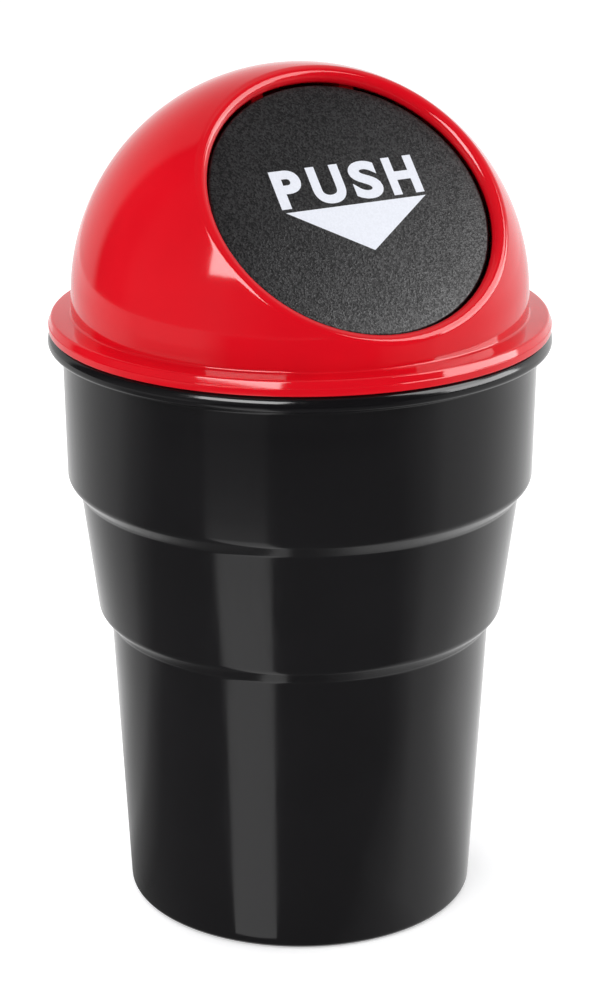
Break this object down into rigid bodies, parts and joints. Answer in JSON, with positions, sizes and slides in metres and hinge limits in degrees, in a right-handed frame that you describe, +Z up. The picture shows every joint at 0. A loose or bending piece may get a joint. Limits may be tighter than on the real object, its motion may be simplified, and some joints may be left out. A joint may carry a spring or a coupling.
{
  "type": "small push top bin",
  "caption": "Small round bin: stepped, tapered cup with a push-on domed lid and a tilted round flap that is pushed in and springs shut.",
  "frame": {"origin": "centre of the cup's base, on the surface it stands on", "axes": "+Z up through the dome, -Y the side that the flap faces, X along the flap's hinge pin"},
  "size_m": [0.088, 0.088, 0.1514],
  "materials": {
    "black_plastic": "satin gloss, moulded",
    "red_plastic": "high gloss, moulded",
    "grained_black_plastic": "matt, fine spark-eroded grain",
    "steel_pin": "drawn",
    "spring_wire": "bright wire"
  },
  "bodies": {
    "bin": {"cup": "black_plastic"},
    "lid": {"lid_dome": "red_plastic", "hinge_pin": "steel_pin", "return_spring": "spring_wire"},
    "flap": {"push_flap": "grained_black_plastic"}
  },
  "joints": [
    {"name": "lid_lift", "type": "slide", "parent": "bin", "child": "lid", "axis": [0, 0, 1], "range_m": [0, 0.06]},
    {"name": "flap_swing", "type": "hinge", "parent": "lid", "child": "flap", "pos_m": [0, -0.00238, 0.14231], "axis": [1, 0, 0], "range_deg": [0, 70], "stiffness_Nm_per_rad": 0.008, "springref_deg": -57.3, "deforming": ["return_spring"]}
  ]
}
